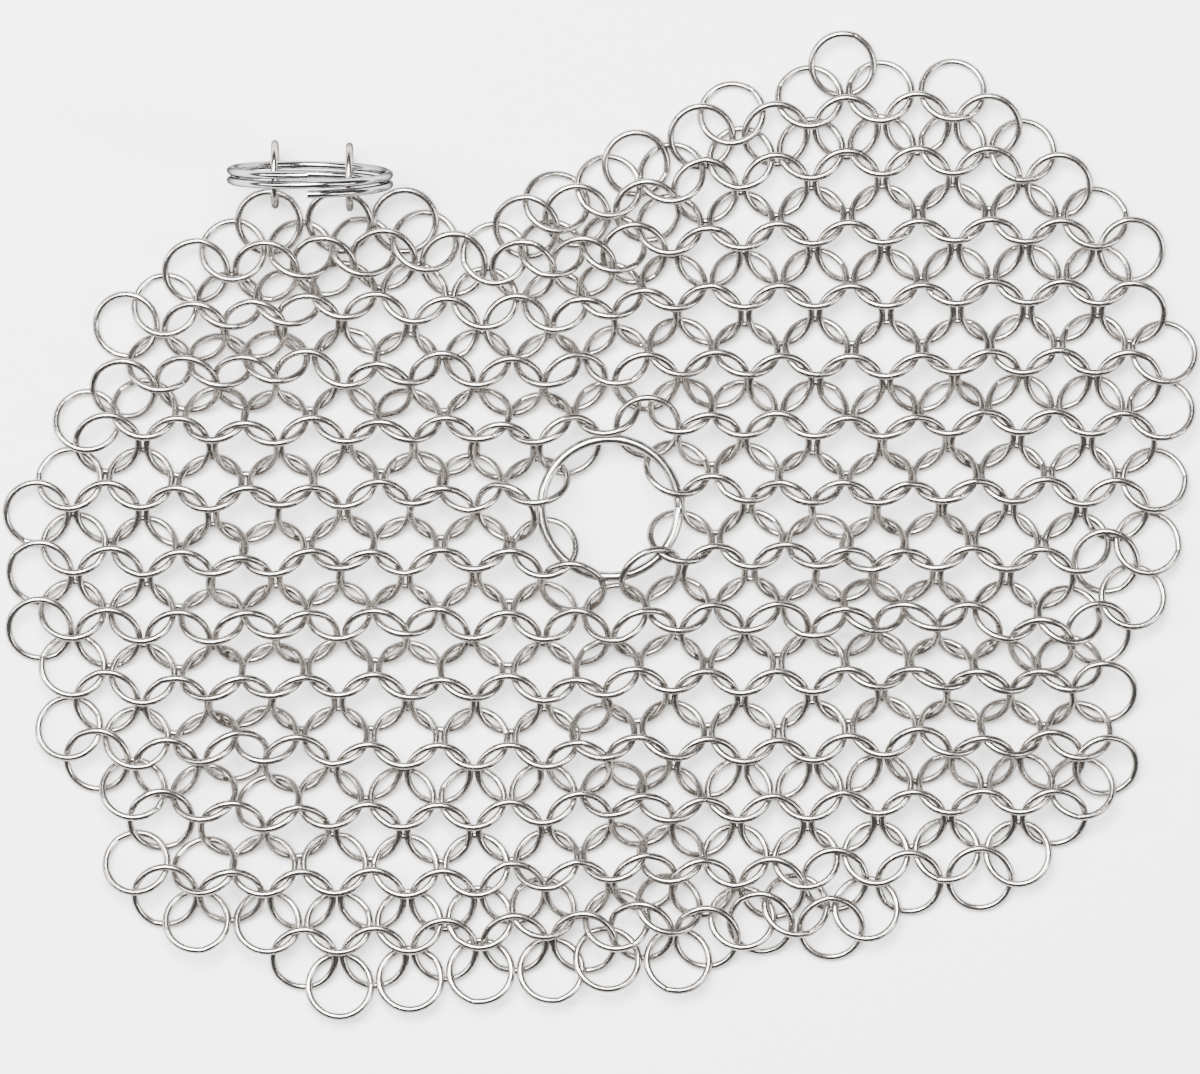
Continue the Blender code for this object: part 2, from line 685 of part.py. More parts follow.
# Joints: the centre ring turns, the mail folds along six lines and the split ring swings
add_joint("centre_ring_axis", centre_place + shift, [centre_ring])
hinges = {}
root = STRIP_NAMES.index("middle")
for strip in [*range(root - 1, -1, -1), *range(root + 1, len(STRIP_NAMES))]:
    fold = strip if strip < root else strip - 1
    place = np.array([0, FOLD_LINES[fold] + FOLD_SHIFTS[fold], FOLD_HEIGHTS[fold]]) + shift * (0, 1, 0)
    inner = hinges.get(strip + 1 if strip < root else strip - 1)
    hinges[strip] = add_joint(STRIP_NAMES[strip] + "_fold", place, strips[strip], inner)
    print(STRIP_NAMES[strip], "folds at", place.round(5))
hung = hinges[band[pair[0]]]
for thing in hanger_rings:
    thing.parent = hung
    thing.matrix_parent_inverse = hung.matrix_world.inverted()
add_joint("split_ring_axis", split_axle(hangers) + shift, [split_ring], hung)
for word, place in zip(("left", "right"), hangers):
    report_gap("hanger_ring_" + word, room_round(place, centres, frames) - WIRE)
print("hangers at", (hangers + shift).round(5))
print("split ring swings at", (split_axle(hangers) + shift).round(5))
print("split ring centre", (split_centre(hangers) + shift).round(5))
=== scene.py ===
"""Round chainmail scrubber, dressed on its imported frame: linked steel rings, a centre ring, a split ring."""

import math
from types import SimpleNamespace

import bpy
import numpy as np
from mathutils import Matrix, Vector


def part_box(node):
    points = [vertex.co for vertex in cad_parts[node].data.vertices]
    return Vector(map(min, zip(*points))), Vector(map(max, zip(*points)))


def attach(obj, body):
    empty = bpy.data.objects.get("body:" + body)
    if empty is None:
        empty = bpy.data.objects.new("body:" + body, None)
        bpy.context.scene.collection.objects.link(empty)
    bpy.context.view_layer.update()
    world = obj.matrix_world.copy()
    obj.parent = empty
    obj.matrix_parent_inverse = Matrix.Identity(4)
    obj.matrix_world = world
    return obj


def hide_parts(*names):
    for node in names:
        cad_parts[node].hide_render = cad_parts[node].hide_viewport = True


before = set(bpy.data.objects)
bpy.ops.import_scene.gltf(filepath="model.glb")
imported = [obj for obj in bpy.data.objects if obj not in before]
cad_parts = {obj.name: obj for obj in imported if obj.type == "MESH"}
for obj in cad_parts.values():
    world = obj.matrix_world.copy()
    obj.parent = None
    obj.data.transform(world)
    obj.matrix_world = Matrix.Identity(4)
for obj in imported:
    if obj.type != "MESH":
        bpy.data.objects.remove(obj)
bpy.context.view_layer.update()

# Small rings
# Each is a short length of round stainless wire, bent to a circle and closed end to end.
# The ends don't quite meet flush, so a fine seam shows, and tumbling has left the wire bright.
RING_OUTER = 0.0099
WIRE = 0.0010
RING_RADIUS = (RING_OUTER - WIRE) / 2

# The wire that shows is a little thicker than the solids' wire
DRAWN_WIRE = 0.00110

# The closing seam, and the coarse ring that one level of subdivision rounds
SEAM_WIDTH = 0.00012
SEAM_SHARE = 0.84
CAGE_SIDES = 16
CAGE_WIRE_SIDES = 5

# Colours of clean and of dulled steel, a dark edge tint that paints dark reflections at its edges, and how
# rough its polish is
MAIL_BRIGHT = (0.48, 0.455, 0.43)
MAIL_DULL = (0.17, 0.155, 0.145)
PAINTED_EDGE_REFLECTION = (0.07, 0.07, 0.07)
MAIL_POLISH = 0.18

# Marks of drawing and tumbling: how many to a metre, in which range they show, and what they do
DULL_MARKS = 700
DULL_DETAIL = 3
DULL_RANGE = (0.38, 0.66)
DULL_MOST = 0.75
DULL_ROUGHNESS = 0.14
TONE_LEAST = 0.35
FINE_MARKS = 6000
FINE_DETAIL = 2
FINE_RANGE = (0.35, 0.65)
FINE_ROUGHNESS = (-0.03, 0.05)
FINE_HEIGHT = 0.35
DENT_MARKS = 1500
DENT_DETAIL = 3
DENT_STRENGTH = 0.22
DENT_DEPTH = 0.00004


def smooth_share(sides):
    """How far one level of subdivision draws a cage of so many sides inwards"""
    return (6 + 2 * math.cos(2 * math.pi / sides)) / 8


def closed_ring(name, radius, wire, sides, wire_sides, seam):
    """A ring of wire with a fine seam where its ends meet"""
    bpy.ops.object.select_all(action="DESELECT")
    bpy.ops.mesh.primitive_torus_add(
        major_radius=radius / smooth_share(sides), minor_radius=wire / 2 / smooth_share(wire_sides),
        major_segments=sides, minor_segments=wire_sides)
    ring = bpy.context.object
    ring.name = name
    bpy.ops.object.mode_set(mode="EDIT")
    bpy.ops.mesh.select_mode(type="VERT")
    bpy.ops.mesh.select_all(action="DESELECT")
    bpy.ops.object.mode_set(mode="OBJECT")
    for vertex in ring.data.vertices:
        vertex.select = vertex.co.x > 0 and abs(vertex.co.y) < seam / 2
    bpy.ops.object.mode_set(mode="EDIT")
    bpy.ops.mesh.select_mode(type="EDGE")
    bpy.ops.mesh.bevel(offset=seam, segments=2, affect="EDGES")
    bpy.ops.mesh.select_mode(type="VERT")
    bpy.ops.mesh.select_all(action="DESELECT")
    bpy.ops.object.mode_set(mode="OBJECT")
    for vertex in ring.data.vertices:
        vertex.select = vertex.co.x > 0 and abs(vertex.co.y) < seam / 4
    bpy.ops.object.mode_set(mode="EDIT")
    bpy.ops.transform.resize(value=(SEAM_SHARE, 1, SEAM_SHARE), center_override=(radius, 0, 0))
    bpy.ops.object.mode_set(mode="OBJECT")
    bpy.ops.object.shade_smooth()
    return ring


def set_in_mesh(piece, place, axes):
    """Moves a piece to its place and turns it to its axes, in its mesh"""
    matrix = Matrix(np.asarray(axes).tolist()).to_4x4()
    matrix.translation = Vector(place)
    piece.data.transform(matrix)


def placed_copy(original, name, place, axes, tone):
    """A copy of a ring with its own mesh, set in its place, with a tone of its own"""
    copy = original.copy()
    copy.data = original.data.copy()
    copy.name = name
    bpy.context.scene.collection.objects.link(copy)
    set_in_mesh(copy, place, axes)
    values = copy.data.attributes.new("tone", "FLOAT", "POINT").data
    values.foreach_set("value", [tone] * len(values))
    return copy


def joined(rings, name):
    """One piece from one or more rings, rounded off by a level of subdivision"""
    bpy.ops.object.select_all(action="DESELECT")
    for ring in rings:
        ring.select_set(True)
    bpy.context.view_layer.objects.active = rings[0]
    if len(rings) > 1:
        bpy.ops.object.join()
    piece = bpy.context.object
    piece.name = name
    piece.data.name = name
    rounding = piece.modifiers.new("rounding", "SUBSURF")
    rounding.levels = 1
    rounding.render_levels = 1
    return piece


def drawn_wire_group():
    """Shared finish of drawn and tumbled wire: fine marks, dull patches and a tone for each ring"""
    group = bpy.data.node_groups.new("drawn_wire", "ShaderNodeTree")
    group.interface.new_socket("Bright", in_out="INPUT", socket_type="NodeSocketColor")
    group.interface.new_socket("Dull", in_out="INPUT", socket_type="NodeSocketColor")
    group.interface.new_socket("Polish", in_out="INPUT", socket_type="NodeSocketFloat")
    group.interface.new_socket("Color", in_out="OUTPUT", socket_type="NodeSocketColor")
    group.interface.new_socket("Roughness", in_out="OUTPUT", socket_type="NodeSocketFloat")
    group.interface.new_socket("Normal", in_out="OUTPUT", socket_type="NodeSocketVector")
    nodes, links = group.nodes, group.links
    given = nodes.new("NodeGroupInput")
    result = nodes.new("NodeGroupOutput")
    place = nodes.new("ShaderNodeTexCoord").outputs["Object"]
    tone = nodes.new("ShaderNodeAttribute")
    tone.attribute_name = "tone"

    def cloud(marks, detail):
        texture = nodes.new("ShaderNodeTexNoise")
        texture.inputs["Scale"].default_value = marks
        texture.inputs["Detail"].default_value = detail
        links.new(place, texture.inputs["Vector"])
        return texture.outputs["Fac"]

    def spread(value, shown, result_range):
        ranged = nodes.new("ShaderNodeMapRange")
        for socket, number in zip(("From Min", "From Max", "To Min", "To Max"), (*shown, *result_range)):
            ranged.inputs[socket].default_value = number
        links.new(value, ranged.inputs["Value"])
        return ranged.outputs["Result"]

    def combined(operation, one, other):
        sum_node = nodes.new("ShaderNodeMath")
        sum_node.operation = operation
        links.new(one, sum_node.inputs[0])
        links.new(other, sum_node.inputs[1])
        return sum_node.outputs[0]

    patches = spread(cloud(DULL_MARKS, DULL_DETAIL), DULL_RANGE, (0, DULL_MOST))
    dulled = combined("MULTIPLY", patches, spread(tone.outputs["Fac"], (0, 1), (TONE_LEAST, 1)))
    mix = nodes.new("ShaderNodeMix")
    mix.data_type = "RGBA"
    links.new(dulled, mix.inputs["Factor"])
    links.new(given.outputs["Bright"], mix.inputs["A"])
    links.new(given.outputs["Dull"], mix.inputs["B"])
    links.new(mix.outputs["Result"], result.inputs["Color"])

    fine = cloud(FINE_MARKS, FINE_DETAIL)
    worn = combined("ADD", given.outputs["Polish"], spread(dulled, (0, 1), (0, DULL_ROUGHNESS)))
    links.new(combined("ADD", worn, spread(fine, FINE_RANGE, FINE_ROUGHNESS)), result.inputs["Roughness"])

    height = combined("ADD", spread(fine, (0, 1), (0, FINE_HEIGHT)), cloud(DENT_MARKS, DENT_DETAIL))
    bump = nodes.new("ShaderNodeBump")
    bump.inputs["Strength"].default_value = DENT_STRENGTH
    bump.inputs["Distance"].default_value = DENT_DEPTH
    links.new(height, bump.inputs["Height"])
    links.new(bump.outputs["Normal"], result.inputs["Normal"])
    return group


wire_finish = drawn_wire_group()


def steel(name, bright, dull, polish):
    """A steel finish that wears the shared marks of drawn wire"""
    finish = bpy.data.materials.new(name)
    finish.use_nodes = True
    shader = finish.node_tree.nodes["Principled BSDF"]
    shader.inputs["Metallic"].default_value = 1
    # The near-black specular tint darkens the steel at its edges: a painted dark reflection, not a colour of
    # the steel
    shader.inputs["Specular Tint"].default_value = (*PAINTED_EDGE_REFLECTION, 1)
    wear = finish.node_tree.nodes.new("ShaderNodeGroup")
    wear.node_tree = wire_finish
    wear.inputs["Bright"].default_value = (*bright, 1)
    wear.inputs["Dull"].default_value = (*dull, 1)
    wear.inputs["Polish"].default_value = polish
    finish.node_tree.links.new(wear.outputs["Color"], shader.inputs["Base Color"])
    finish.node_tree.links.new(wear.outputs["Roughness"], shader.inputs["Roughness"])
    finish.node_tree.links.new(wear.outputs["Normal"], shader.inputs["Normal"])
    return finish


def dress(piece, body, node, finish):
    """Gives a piece its finish and its body, and hides the part of the node it stands for"""
    piece.data.materials.clear()
    piece.data.materials.append(finish)
    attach(piece, body)
    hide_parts(node)


def box_centre(node):
    """The middle of a node's box"""
    low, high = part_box(node)
    return (np.array(low) + np.array(high)) / 2


mail_steel = steel("mail_wire_steel", MAIL_BRIGHT, MAIL_DULL, MAIL_POLISH)
small_ring = closed_ring("small_ring", RING_RADIUS, DRAWN_WIRE, CAGE_SIDES, CAGE_WIRE_SIDES, SEAM_WIDTH)

# Mail
# Four rings pass through each small ring, two on one side and two on the other. The mat is woven flat
# and drawn in to the way it lies, and then the rings move until their wires lie against each other.
WEAVE_PITCH = 0.0100
WEAVE_RADIUS = 0.0815
RING_LEAN = math.radians(30)
RUNNING_GAP = 0.00025
FIELD_SHARE = 1.2
HOLE_SHARE = 0.7
LINK_SHARE = 0.8

# The inmost rings lie at the wire of the centre ring, and some of them go round it
CENTRE_OUTER = 0.0210
CENTRE_WIRE = 0.0015
CENTRE_HEIGHT = 0.0042
CENTRE_RADIUS = (CENTRE_OUTER - CENTRE_WIRE) / 2
THREADED_RADIUS = 0.0123
THREADED_SHARE = 1.6

# The hanger rings pass through two neighbouring rings of the upper edge, in this direction
HANGER_ANGLE = math.radians(134)
HUNG_HEIGHT = 0.0029
ROW_SHARE = 1.3
LEVEL_SHARE = 0.35
CLEAR_SHARE = 0.9

# Strips between fold lines, each in patches of a few rings that touch
FOLD_LINES = (-0.0575, -0.0380, -0.0180, 0.0180, 0.0355, 0.0530)
STRIP_NAMES = ("near_edge", "near_outer", "near_inner", "middle", "far_inner", "far_outer", "far_edge")
FOLD_GAP = 0.0005
TOUCH_DEPTH = 0.00060
PATCH_RINGS = 8
PATCH_LEAST = 4

# Angle from +X in degrees, reach as it lies and reach of the weave, both as shares of WEAVE_RADIUS
OUTLINE_SHARES = (
    (4, 0.97, 1.00), (16, 1.02, 1.05), (28, 1.03, 1.06), (42, 0.97, 1.02), (54, 0.97, 1.02),
    (64, 0.95, 0.99), (72, 0.78, 0.88), (82, 0.66, 0.80), (94, 0.57, 0.72), (108, 0.52, 0.67),
    (119, 0.55, 0.68), (127, 0.67, 0.82), (136, 0.77, 0.94), (146, 0.85, 0.97), (160, 0.91, 1.00),
    (172, 0.95, 1.02), (184, 1.00, 1.07), (197, 1.03, 1.10), (212, 1.04, 1.10), (226, 1.04, 1.09),
    (236, 1.02, 1.07), (246, 0.96, 1.04), (258, 0.87, 0.99), (272, 0.82, 0.96), (289, 0.82, 0.95),
    (304, 0.88, 0.98), (314, 0.95, 1.02), (323, 1.02, 1.07), (334, 0.98, 1.04), (344, 0.91, 1.01),
    (354, 0.93, 1.00),
)

# Settling of the weave: its rounds, and how far a ring goes in each
DRAW_STEPS = 12
DRAW_ROUNDS = 35
DRAW_PULL = 0.05
REST_ROUNDS = 120
REST_PULL = 0.01
HOLD_PASSES = 2
HOLD_ROUNDS = 380
HOLD_PULL = 0.002
SINK = 0.00001
REACH_SHARE = 0.81
LINK_REACH = REACH_SHARE * 2 * RING_RADIUS
LOOSE_SIGHT_SHARE = 0.4
TIED_SIGHT_SHARE = 2.0
CENTRE_SIGHT_SHARE = 2.5
SLACK_SHARE = 0.1
EASE_SHARE = 0.4
DRAW_IN_SHARE = 0.25
MOVE_SHARE = 0.28
TURN_LIMIT = 0.06
PAIR_ROUNDS = 20
NEAREST_PASSES = 3
TINY = 1e-12

# Unevenness of the mat as it lies
EDGE_POWER = 1.2
WAVE_SHARE = 0.10
WAVE_TURNS = (2.3, 1.6)
LEAN_SHARE = 0.35

# Places and axes are rounded in each round, so that every run settles alike
PLACE_DIGITS = 7
TURN_DIGITS = 6

# The mat settles first on rings of six sides, as its solids have, and last on round ones
SOLID_SIDES = 6
SOLID_SAMPLES = 3
SOLID_SHARE = 1.06
ROUND_SIDES = 32
ROUND_SAMPLES = 1


def ring_line(wire, sides, samples, corner_reach):
    """The line that the wire of a ring follows: its straight sides, and the points looked at on each"""
    facet = 2 * math.pi / sides
    side_reach = corner_reach * math.cos(facet / 2)
    return SimpleNamespace(
        wire=wire, sides=sides, samples=samples, facet=facet,
        corner_reach=corner_reach, side_reach=side_reach)


def round_line(wire):
    """The line of a round ring's wire"""
    return ring_line(wire, ROUND_SIDES, ROUND_SAMPLES, RING_RADIUS / math.cos(math.pi / ROUND_SIDES))


def unit(vectors):
    """Vectors of length one"""
    length = np.linalg.norm(vectors, axis=-1, keepdims=True)
    return vectors / np.maximum(length, TINY)


def share(theta, column):
    """Reach at an angle, from the outline's shares"""
    table = np.array(OUTLINE_SHARES)
    angles = np.concatenate([table[:, 0] - 360, table[:, 0], table[:, 0] + 360])
    return np.interp(np.degrees(theta) % 360, angles, np.tile(table[:, column], 3))


def ring_sites():
    """Ring centres of the flat weave: two square nets, one in the gaps of the other"""
    half = int(FIELD_SHARE * WEAVE_RADIUS / WEAVE_PITCH) + 1
    sites = []
    for i in range(-half, half + 1):
        for j in range(-half, half + 1):
            sites.append(((i + 0.5) * WEAVE_PITCH, j * WEAVE_PITCH, 1))
            sites.append((i * WEAVE_PITCH, (j + 0.5) * WEAVE_PITCH, -1))
    sites = np.array(sites)
    reach = np.hypot(sites[:, 0], sites[:, 1])
    theta = np.arctan2(sites[:, 1], sites[:, 0])
    sites = sites[(reach > HOLE_SHARE * WEAVE_PITCH) & (reach < share(theta, 2) * WEAVE_RADIUS)]
    while True:
        apart = np.linalg.norm(sites[:, None, :2] - sites[None, :, :2], axis=2)
        linked = (apart > 0) & (apart < LINK_SHARE * WEAVE_PITCH)
        held = linked.sum(1) >= 2
        if held.all():
            return sites[:, :2], sites[:, 2], linked
        sites = sites[held]


def lying_places(sites):
    """Where each ring lies once the mail is drawn in to its outline"""
    reach = np.hypot(sites[:, 0], sites[:, 1])
    theta = np.arctan2(sites[:, 1], sites[:, 0])
    drawn = share(theta, 1) / share(theta, 2)
    along = reach / (share(theta, 2) * WEAVE_RADIUS)
    places = sites * (1 + (drawn - 1) * along ** EDGE_POWER)[:, None]
    wave = np.pi * sites / WEAVE_RADIUS * WAVE_TURNS
    strength = WAVE_SHARE * WEAVE_PITCH * along
    places[:, 0] += strength * np.sin(wave[:, 1] + wave[:, 0])
    places[:, 1] += strength * np.sin(wave[:, 0] - wave[:, 1])
    threaded = reach < THREADED_SHARE * WEAVE_PITCH
    places[threaded] = THREADED_RADIUS * unit(sites[threaded])
    return places


def leaning_frames(sites, side):
    """Each ring's axes: across, along and its normal, leaning one way or the other"""
    wave = np.pi * sites / WEAVE_RADIUS * WAVE_TURNS
    vary = 1 + LEAN_SHARE * np.sin(wave[:, 0]) * np.cos(wave[:, 1])
    lean = RING_LEAN * side * vary
    none = np.zeros(len(side))
    normal = np.stack([none, -np.sin(lean), np.cos(lean)], 1)
    across = np.tile([1.0, 0.0, 0.0], (len(side), 1))
    return np.stack([across, np.cross(normal, across), normal], 2)


def turned(frames, turns):
    """Frames turned by small rotation vectors"""
    angle = np.linalg.norm(turns, axis=1, keepdims=True)
    axis = turns / np.maximum(angle, TINY)
    cross = np.zeros((len(turns), 3, 3))
    cross[:, 0, 1], cross[:, 0, 2], cross[:, 1, 2] = -axis[:, 2], axis[:, 1], -axis[:, 0]
    cross -= cross.transpose(0, 2, 1)
    sine, versine = np.sin(angle)[:, :, None], (1 - np.cos(angle))[:, :, None]
    frames = frames + (sine * cross + versine * (cross @ cross)) @ frames
    across = unit(frames[:, :, 0])
    normal = unit(np.cross(across, frames[:, :, 1]))
    return np.stack([across, np.cross(normal, across), normal], 2)


def around(centres, frames, phases, reaches):
    """Points round each ring at given angles and distances from its centre"""
    flat = np.cos(phases)[None, :, None] * frames[:, None, :, 0]
    flat = flat + np.sin(phases)[None, :, None] * frames[:, None, :, 1]
    return centres[:, None] + np.reshape(reaches, (1, -1, 1)) * flat


def wire_points(line, centres, frames):
    """Points along the sides of each ring's wire line"""
    count = line.sides * line.samples
    phases = 2 * math.pi * (np.arange(count) + 0.5) / count
    return around(centres, frames, phases, line.side_reach / np.cos(phases % line.facet - line.facet / 2))


def corner_points(line, centres, frames):
    """The corners of each ring's wire line"""
    return around(centres, frames, line.facet * np.arange(line.sides), np.full(line.sides, line.corner_reach))


def onto_ring(line, points, centres, frames):
    """Nearest points on the rings' wire lines"""
    away = points - centres
    across = np.sum(away * frames[..., 0], -1)
    along = np.sum(away * frames[..., 1], -1)
    middle = (np.floor(np.arctan2(along, across) / line.facet) + 0.5) * line.facet
    cosine, sine = np.cos(middle), np.sin(middle)
    half = line.side_reach * math.tan(line.facet / 2)
    slide = np.clip(along * cosine - across * sine, -half, half)
    across = (line.side_reach * cosine - slide * sine)[..., None]
    along = (line.side_reach * sine + slide * cosine)[..., None]
    return centres + across * frames[..., 0] + along * frames[..., 1]


def meetings(line, centres, frames, one, other, limit):
    """Places where the wire of one ring passes the wire of the other nearer than a limit"""
    points = wire_points(line, centres, frames)[one]
    nearest = onto_ring(line, points, centres[other][:, None], frames[other][:, None])
    apart = np.linalg.norm(points - nearest, axis=2)
    closest = (apart <= np.roll(apart, 1, 1)) & (apart < np.roll(apart, -1, 1)) & (apart < limit)
    pair, sample = np.nonzero(closest)
    one, other = one[pair], other[pair]
    here = points[pair, sample]
    for _ in range(NEAREST_PASSES):
        there = onto_ring(line, here, centres[other], frames[other])
        here = onto_ring(line, there, centres[one], frames[one])
    return one, other, here, onto_ring(line, here, centres[other], frames[other])


def near_pairs(line, centres):
    """Both orders of each pair of rings that can meet"""
    apart = np.linalg.norm(centres[:, None] - centres[None], axis=2)
    one, other = np.nonzero(apart < 2 * line.corner_reach + 2 * line.wire)
    keep = one != other
    return one[keep], other[keep]


def push(moves, turns, rings, centres, places, direction, amount):
    """Adds the shift and turn that move a place on a ring by an amount"""
    lever = np.cross(places - centres[rings], direction)
    ease = 1 + 2 * np.sum(lever * lever, 1) / RING_RADIUS ** 2
    step = (amount / ease)[:, None]
    np.add.at(moves, rings, step * direction)
    np.add.at(turns, rings, step * lever * 2 / RING_RADIUS ** 2)


def nearest_of_each(one, other, apart, count):
    """Marks the closest meeting of each pair"""
    key = np.minimum(one, other) * count + np.maximum(one, other)
    order = np.lexsort((apart, key))
    first = np.ones(len(order), bool)
    first[1:] = key[order][1:] != key[order][:-1]
    marked = np.zeros(len(order), bool)
    marked[order[first]] = True
    return marked


def keep_apart(line, moves, turns, centres, frames, pairs, spacing, touching):
    """Pushes wires that are too near each other apart, and draws those that touch together"""
    limit = spacing.max() + (TIED_SIGHT_SHARE if touching.any() else LOOSE_SIGHT_SHARE) * line.wire
    one, other, here, there = meetings(line, centres, frames, *pairs, limit)
    away = here - there
    apart = np.linalg.norm(away, axis=1)
    direction = away / np.maximum(apart, TINY)[:, None]
    held = touching[one, other] & nearest_of_each(one, other, apart, len(centres))
    short = np.maximum(spacing[one, other] - apart, np.where(held, -SLACK_SHARE * line.wire, 0))
    push(moves, turns, one, centres, here, direction, EASE_SHARE * short)
    push(moves, turns, other, centres, there, -direction, EASE_SHARE * short)


def keep_off_centre_ring(line, moves, turns, centres, frames, rings):
    """Pushes the wires of the rings that can reach it off the centre ring's wire"""
    points = wire_points(line, centres[rings], frames[rings])
    out = np.linalg.norm(points[:, :, :2], axis=2)
    rise = points[:, :, 2] - CENTRE_HEIGHT
    apart = np.hypot(out - CENTRE_RADIUS, rise)
    wanted = (line.wire + CENTRE_WIRE) / 2 + RUNNING_GAP
    nearest = (apart <= np.roll(apart, 1, 1)) & (apart < np.roll(apart, -1, 1)) & (apart < wanted)
    ring, sample = np.nonzero(nearest)
    place = points[ring, sample]
    sideways = ((out - CENTRE_RADIUS)[ring, sample] / out[ring, sample])[:, None] * place[:, :2]
    direction = unit(np.concatenate([sideways, rise[ring, sample][:, None]], 1))
    short = wanted - apart[ring, sample]
    push(moves, turns, rings[ring], centres, place, direction, 2 * EASE_SHARE * short)


def keep_off_worktop(line, moves, turns, centres, frames, hung):
    """Lifts what reaches below the worktop, and the outer sides of the rings that the hangers go through"""
    corners = corner_points(line, centres, frames)
    under, corner = np.nonzero(corners[:, :, 2] < line.wire / 2)
    place = corners[under, corner]
    upwards = np.tile([0.0, 0.0, 1.0], (len(under), 1))
    push(moves, turns, under, centres, place, upwards, 2 * EASE_SHARE * (line.wire / 2 - place[:, 2]))
    for ring in hung:
        outer = onto_ring(line, centres[ring] + np.array([0, RING_RADIUS, 0]), centres[ring], frames[ring])
        lift = max(HUNG_HEIGHT - outer[2], 0)
        push(moves, turns, [ring], centres, outer[None], np.array([[0, 0, 1.0]]), np.array([lift]))


def settle(line, centres, frames, linked, spacing, touching, places, pull, weight, rounds, hung=()):
    """Moves and turns the rings until their wires keep their spacing"""
    joints = np.argwhere(np.triu(linked))
    by_centre = np.nonzero(np.hypot(places[:, 0], places[:, 1]) < CENTRE_SIGHT_SHARE * THREADED_RADIUS)[0]
    for turn in range(rounds):
        if turn % PAIR_ROUNDS == 0:
            pairs = near_pairs(line, centres)
        moves, turns = np.zeros((len(centres), 3)), np.zeros((len(centres), 3))
        keep_apart(line, moves, turns, centres, frames, pairs, spacing, touching)
        keep_off_centre_ring(line, moves, turns, centres, frames, by_centre)
        keep_off_worktop(line, moves, turns, centres, frames, hung)

        across = centres[joints[:, 1]] - centres[joints[:, 0]]
        length = np.linalg.norm(across, axis=1)
        draw_in = (DRAW_IN_SHARE * np.maximum(length - LINK_REACH, 0) / length)[:, None] * across
        np.add.at(moves, joints[:, 0], draw_in)
        np.add.at(moves, joints[:, 1], -draw_in)

        moves[:, 2] -= weight
        moves[:, :2] += pull * (places - centres[:, :2])
        furthest = MOVE_SHARE * line.wire
        moves *= np.minimum(1, furthest / np.maximum(np.linalg.norm(moves, axis=1), TINY))[:, None]
        turns *= np.minimum(1, TURN_LIMIT / np.maximum(np.linalg.norm(turns, axis=1), TINY))[:, None]
        centres = np.round(centres + moves, PLACE_DIGITS)
        frames = np.round(turned(frames, turns), TURN_DIGITS)
    return centres, frames


def patches_of(places, band, linked):
    """Splits each strip into patches of linked rings, from left to right"""
    count = len(places)
    patch = np.full(count, -1)
    near = linked & (band[:, None] == band[None])
    groups = []
    for strip in range(len(STRIP_NAMES)):
        free = set(np.nonzero(band == strip)[0])
        while free:
            seed = min(free, key=lambda ring: (places[ring, 0], places[ring, 1]))
            group = [seed]
            free.discard(seed)
            while len(group) < PATCH_RINGS:
                edge = {int(r) for g in group for r in np.nonzero(near[g])[0]} & free
                if not edge:
                    break
                pick = min(edge, key=lambda ring: (places[ring, 0], places[ring, 1]))
                group.append(pick)
                free.discard(pick)
            groups.append(group)
            patch[group] = len(groups) - 1
    for small in sorted(range(len(groups)), key=lambda g: len(groups[g])):
        if not 0 < len(groups[small]) < PATCH_LEAST:
            continue
        beside = {int(patch[r]) for g in groups[small] for r in np.nonzero(near[g])[0]} - {small}
        if beside:
            host = min(beside, key=lambda g: len(groups[g]))
            groups[host] += groups[small]
            groups[small] = []
            patch[groups[host]] = host
    return [sorted(group) for group in groups if group]


def ties_of(line, groups, centres, frames):
    """Pairs of rings that touch, so that each patch hangs together by its closest meetings"""
    count = len(centres)
    gap = np.full((count, count), np.inf)
    one, other, here, there = meetings(line, centres, frames, *near_pairs(line, centres), RING_RADIUS)
    np.minimum.at(gap, (one, other), np.linalg.norm(here - there, axis=1))
    gap = np.minimum(gap, gap.T)
    touching = np.zeros((count, count), bool)
    for group in groups:
        chain, left = [group[0]], set(group[1:])
        while left:
            crowded = gap + SLACK_SHARE * line.wire * touching.sum(1)[:, None]
            _, host, ring = min((crowded[a, b], a, b) for a in chain for b in left)
            touching[host, ring] = touching[ring, host] = True
            chain.append(ring)
            left.discard(ring)
    return touching


def hanging_row(centres, side):
    """The two neighbouring rings of the upper edge that lie nearest to the hangers' direction"""
    flat = centres[:, :2]
    reach = share(HANGER_ANGLE, 1) * WEAVE_RADIUS
    target = reach * np.array([math.cos(HANGER_ANGLE), math.sin(HANGER_ANGLE)])
    best = None
    for left in range(len(flat)):
        for right in np.nonzero((side == side[left]) & (flat[:, 0] > flat[left, 0]))[0]:
            step = flat[right] - flat[left]
            if step[0] > ROW_SHARE * WEAVE_PITCH or abs(step[1]) > LEVEL_SHARE * WEAVE_PITCH:
                continue
            middle = (flat[left] + flat[right]) / 2
            over = (np.abs(flat[:, 0] - middle[0]) < CLEAR_SHARE * WEAVE_PITCH) & (
                flat[:, 1] > middle[1] + LEVEL_SHARE * WEAVE_PITCH)
            miss = np.linalg.norm(middle - target)
            if not over.any() and (best is None or miss < best[0]):
                best = (miss, left, int(right))
    return best[1:]


